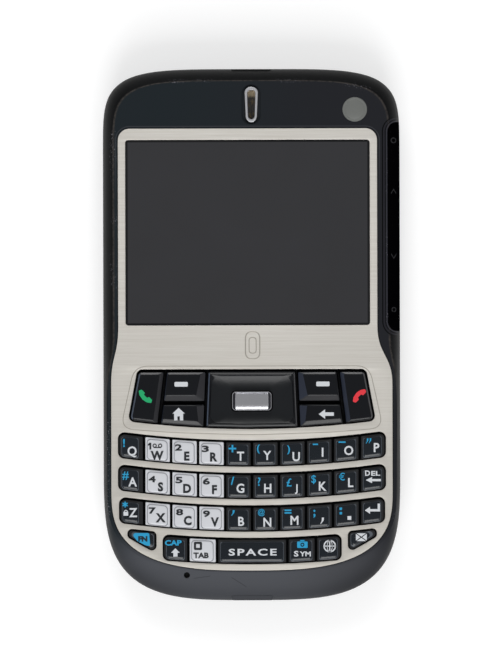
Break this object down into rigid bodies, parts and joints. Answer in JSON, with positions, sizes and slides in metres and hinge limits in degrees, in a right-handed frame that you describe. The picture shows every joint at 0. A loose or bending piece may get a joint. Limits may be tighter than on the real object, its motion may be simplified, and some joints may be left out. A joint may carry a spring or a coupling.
{
  "type": "keyboard smartphone",
  "caption": "Bar-shaped phone with a screen, a navigation cluster and a letter keyboard under a metal faceplate, a side touch strip and a sliding battery cover.",
  "frame": {"origin": "middle of the back face, under the middle of the outline", "axes": "+Z out of the front face, +Y towards the earpiece end, +X to the right seen from the front"},
  "size_m": [0.0624, 0.1119, 0.0128],
  "materials": {
    "shell_black": "satin, fine grain",
    "cover_black": "soft-touch",
    "brushed_plate": "brushed across",
    "display_glass": "clear window over a dark screen",
    "display_frame": "stamped",
    "strip_black": "polished",
    "board_green": "solder mask",
    "silicone": "matt",
    "battery_case": "matt wrap",
    "bright_trim": "polished",
    "camera_black": "polished",
    "screw_steel": "plated",
    "button_black": "satin",
    "keys_dark": "gloss",
    "keys_light": "gloss",
    "nav_black": "gloss"
  },
  "bodies": {
    "phone": {"rear_housing": "shell_black", "front_bezel": "shell_black", "faceplate": "brushed_plate", "display_window": "display_glass", "display_module": "display_frame", "touch_strip": "strip_black", "circuit_board": "board_green", "keypad_mat": "silicone", "battery": "battery_case", "earpiece": "bright_trim", "camera": "camera_black", "screws": "screw_steel"},
    "key_q": {"key_q": "keys_dark"},
    "key_w": {"key_w": "keys_light"},
    "key_e": {"key_e": "keys_light"},
    "key_r": {"key_r": "keys_light"},
    "key_t": {"key_t": "keys_dark"},
    "key_y": {"key_y": "keys_dark"},
    "key_u": {"key_u": "keys_dark"},
    "key_i": {"key_i": "keys_dark"},
    "key_o": {"key_o": "keys_dark"},
    "key_p": {"key_p": "keys_dark"},
    "key_a": {"key_a": "keys_dark"},
    "key_s": {"key_s": "keys_light"},
    "key_d": {"key_d": "keys_light"},
    "key_f": {"key_f": "keys_light"},
    "key_g": {"key_g": "keys_dark"},
    "key_h": {"key_h": "keys_dark"},
    "key_j": {"key_j": "keys_dark"},
    "key_k": {"key_k": "keys_dark"},
    "key_l": {"key_l": "keys_dark"},
    "key_delete": {"key_delete": "keys_dark"},
    "key_z": {"key_z": "keys_dark"},
    "key_x": {"key_x": "keys_light"},
    "key_c": {"key_c": "keys_light"},
    "key_v": {"key_v": "keys_light"},
    "key_b": {"key_b": "keys_dark"},
    "key_n": {"key_n": "keys_dark"},
    "key_m": {"key_m": "keys_dark"},
    "key_comma": {"key_comma": "keys_dark"},
    "key_full_stop": {"key_full_stop": "keys_dark"},
    "key_enter": {"key_enter": "keys_dark"},
    "key_shift": {"key_shift": "keys_dark"},
    "key_zero_tab": {"key_zero_tab": "keys_light"},
    "key_space": {"key_space": "keys_dark"},
    "key_symbol": {"key_symbol": "keys_dark"},
    "key_web": {"key_web": "keys_dark"},
    "key_function": {"key_function": "keys_dark"},
    "key_mail": {"key_mail": "keys_dark"},
    "call_key": {"call_key": "nav_black"},
    "end_key": {"end_key": "nav_black"},
    "left_soft_key": {"left_soft_key": "nav_black"},
    "right_soft_key": {"right_soft_key": "nav_black"},
    "home_key": {"home_key": "nav_black"},
    "back_key": {"back_key": "nav_black"},
    "select_key": {"select_key": "bright_trim"},
    "power_button": {"power_button": "button_black"},
    "battery_cover": {"battery_cover": "cover_black"},
    "nav_pad_rocker": {"nav_pad_rocker": "silicone"},
    "nav_pad": {"nav_pad": "nav_black"}
  },
  "joints": [
    {"name": "key_q_press", "type": "slide", "parent": "phone", "child": "key_q", "axis": [0, 0, -1], "range_m": [0, 0.0003], "stiffness_N_per_m": 2000},
    {"name": "key_w_press", "type": "slide", "parent": "phone", "child": "key_w", "axis": [0, 0, -1], "range_m": [0, 0.0003], "stiffness_N_per_m": 2000},
    {"name": "key_e_press", "type": "slide", "parent": "phone", "child": "key_e", "axis": [0, 0, -1], "range_m": [0, 0.0003], "stiffness_N_per_m": 2000},
    {"name": "key_r_press", "type": "slide", "parent": "phone", "child": "key_r", "axis": [0, 0, -1], "range_m": [0, 0.0003], "stiffness_N_per_m": 2000},
    {"name": "key_t_press", "type": "slide", "parent": "phone", "child": "key_t", "axis": [0, 0, -1], "range_m": [0, 0.0003], "stiffness_N_per_m": 2000},
    {"name": "key_y_press", "type": "slide", "parent": "phone", "child": "key_y", "axis": [0, 0, -1], "range_m": [0, 0.0003], "stiffness_N_per_m": 2000},
    {"name": "key_u_press", "type": "slide", "parent": "phone", "child": "key_u", "axis": [0, 0, -1], "range_m": [0, 0.0003], "stiffness_N_per_m": 2000},
    {"name": "key_i_press", "type": "slide", "parent": "phone", "child": "key_i", "axis": [0, 0, -1], "range_m": [0, 0.0003], "stiffness_N_per_m": 2000},
    {"name": "key_o_press", "type": "slide", "parent": "phone", "child": "key_o", "axis": [0, 0, -1], "range_m": [0, 0.0003], "stiffness_N_per_m": 2000},
    {"name": "key_p_press", "type": "slide", "parent": "phone", "child": "key_p", "axis": [0, 0, -1], "range_m": [0, 0.0003], "stiffness_N_per_m": 2000},
    {"name": "key_a_press", "type": "slide", "parent": "phone", "child": "key_a", "axis": [0, 0, -1], "range_m": [0, 0.0003], "stiffness_N_per_m": 2000},
    {"name": "key_s_press", "type": "slide", "parent": "phone", "child": "key_s", "axis": [0, 0, -1], "range_m": [0, 0.0003], "stiffness_N_per_m": 2000},
    {"name": "key_d_press", "type": "slide", "parent": "phone", "child": "key_d", "axis": [0, 0, -1], "range_m": [0, 0.0003], "stiffness_N_per_m": 2000},
    {"name": "key_f_press", "type": "slide", "parent": "phone", "child": "key_f", "axis": [0, 0, -1], "range_m": [0, 0.0003], "stiffness_N_per_m": 2000},
    {"name": "key_g_press", "type": "slide", "parent": "phone", "child": "key_g", "axis": [0, 0, -1], "range_m": [0, 0.0003], "stiffness_N_per_m": 2000},
    {"name": "key_h_press", "type": "slide", "parent": "phone", "child": "key_h", "axis": [0, 0, -1], "range_m": [0, 0.0003], "stiffness_N_per_m": 2000},
    {"name": "key_j_press", "type": "slide", "parent": "phone", "child": "key_j", "axis": [0, 0, -1], "range_m": [0, 0.0003], "stiffness_N_per_m": 2000},
    {"name": "key_k_press", "type": "slide", "parent": "phone", "child": "key_k", "axis": [0, 0, -1], "range_m": [0, 0.0003], "stiffness_N_per_m": 2000},
    {"name": "key_l_press", "type": "slide", "parent": "phone", "child": "key_l", "axis": [0, 0, -1], "range_m": [0, 0.0003], "stiffness_N_per_m": 2000},
    {"name": "key_delete_press", "type": "slide", "parent": "phone", "child": "key_delete", "axis": [0, 0, -1], "range_m": [0, 0.0003], "stiffness_N_per_m": 2000},
    {"name": "key_z_press", "type": "slide", "parent": "phone", "child": "key_z", "axis": [0, 0, -1], "range_m": [0, 0.0003], "stiffness_N_per_m": 2000},
    {"name": "key_x_press", "type": "slide", "parent": "phone", "child": "key_x", "axis": [0, 0, -1], "range_m": [0, 0.0003], "stiffness_N_per_m": 2000},
    {"name": "key_c_press", "type": "slide", "parent": "phone", "child": "key_c", "axis": [0, 0, -1], "range_m": [0, 0.0003], "stiffness_N_per_m": 2000},
    {"name": "key_v_press", "type": "slide", "parent": "phone", "child": "key_v", "axis": [0, 0, -1], "range_m": [0, 0.0003], "stiffness_N_per_m": 2000},
    {"name": "key_b_press", "type": "slide", "parent": "phone", "child": "key_b", "axis": [0, 0, -1], "range_m": [0, 0.0003], "stiffness_N_per_m": 2000},
    {"name": "key_n_press", "type": "slide", "parent": "phone", "child": "key_n", "axis": [0, 0, -1], "range_m": [0, 0.0003], "stiffness_N_per_m": 2000},
    {"name": "key_m_press", "type": "slide", "parent": "phone", "child": "key_m", "axis": [0, 0, -1], "range_m": [0, 0.0003], "stiffness_N_per_m": 2000},
    {"name": "key_comma_press", "type": "slide", "parent": "phone", "child": "key_comma", "axis": [0, 0, -1], "range_m": [0, 0.0003], "stiffness_N_per_m": 2000},
    {"name": "key_full_stop_press", "type": "slide", "parent": "phone", "child": "key_full_stop", "axis": [0, 0, -1], "range_m": [0, 0.0003], "stiffness_N_per_m": 2000},
    {"name": "key_enter_press", "type": "slide", "parent": "phone", "child": "key_enter", "axis": [0, 0, -1], "range_m": [0, 0.0003], "stiffness_N_per_m": 2000},
    {"name": "key_shift_press", "type": "slide", "parent": "phone", "child": "key_shift", "axis": [0, 0, -1], "range_m": [0, 0.0003], "stiffness_N_per_m": 2000},
    {"name": "key_zero_tab_press", "type": "slide", "parent": "phone", "child": "key_zero_tab", "axis": [0, 0, -1], "range_m": [0, 0.0003], "stiffness_N_per_m": 2000},
    {"name": "key_space_press", "type": "slide", "parent": "phone", "child": "key_space", "axis": [0, 0, -1], "range_m": [0, 0.0003], "stiffness_N_per_m": 2000},
    {"name": "key_symbol_press", "type": "slide", "parent": "phone", "child": "key_symbol", "axis": [0, 0, -1], "range_m": [0, 0.0003], "stiffness_N_per_m": 2000},
    {"name": "key_web_press", "type": "slide", "parent": "phone", "child": "key_web", "axis": [0, 0, -1], "range_m": [0, 0.0003], "stiffness_N_per_m": 2000},
    {"name": "key_function_press", "type": "slide", "parent": "phone", "child": "key_function", "axis": [0, 0, -1], "range_m": [0, 0.0003], "stiffness_N_per_m": 2000},
    {"name": "key_mail_press", "type": "slide", "parent": "phone", "child": "key_mail", "axis": [0, 0, -1], "range_m": [0, 0.0003], "stiffness_N_per_m": 2000},
    {"name": "call_key_press", "type": "slide", "parent": "phone", "child": "call_key", "axis": [0, 0, -1], "range_m": [0, 0.0003], "stiffness_N_per_m": 2000},
    {"name": "end_key_press", "type": "slide", "parent": "phone", "child": "end_key", "axis": [0, 0, -1], "range_m": [0, 0.0003], "stiffness_N_per_m": 2000},
    {"name": "left_soft_key_press", "type": "slide", "parent": "phone", "child": "left_soft_key", "axis": [0, 0, -1], "range_m": [0, 0.0003], "stiffness_N_per_m": 2000},
    {"name": "right_soft_key_press", "type": "slide", "parent": "phone", "child": "right_soft_key", "axis": [0, 0, -1], "range_m": [0, 0.0003], "stiffness_N_per_m": 2000},
    {"name": "home_key_press", "type": "slide", "parent": "phone", "child": "home_key", "axis": [0, 0, -1], "range_m": [0, 0.0003], "stiffness_N_per_m": 2000},
    {"name": "back_key_press", "type": "slide", "parent": "phone", "child": "back_key", "axis": [0, 0, -1], "range_m": [0, 0.0003], "stiffness_N_per_m": 2000},
    {"name": "select_key_press", "type": "slide", "parent": "phone", "child": "select_key", "axis": [0, 0, -1], "range_m": [0, 0.0003], "stiffness_N_per_m": 2000},
    {"name": "power_button_press", "type": "slide", "parent": "phone", "child": "power_button", "axis": [0, -1, 0], "range_m": [0, 0.0003], "stiffness_N_per_m": 2000},
    {"name": "battery_cover_slide", "type": "slide", "parent": "phone", "child": "battery_cover", "axis": [0, -1, 0], "range_m": [0, 0.008]},
    {"name": "nav_pad_up_down", "type": "hinge", "parent": "phone", "child": "nav_pad_rocker", "pos_m": [0, -0.01397, 0.01035], "axis": [1, 0, 0], "range_deg": [-1.5, 1.5], "stiffness_Nm_per_rad": 0.02},
    {"name": "nav_pad_left_right", "type": "hinge", "parent": "nav_pad_rocker", "child": "nav_pad", "pos_m": [0, -0.01397, 0.01035], "axis": [0, 1, 0], "range_deg": [-1.5, 1.5], "stiffness_Nm_per_rad": 0.02}
  ]
}
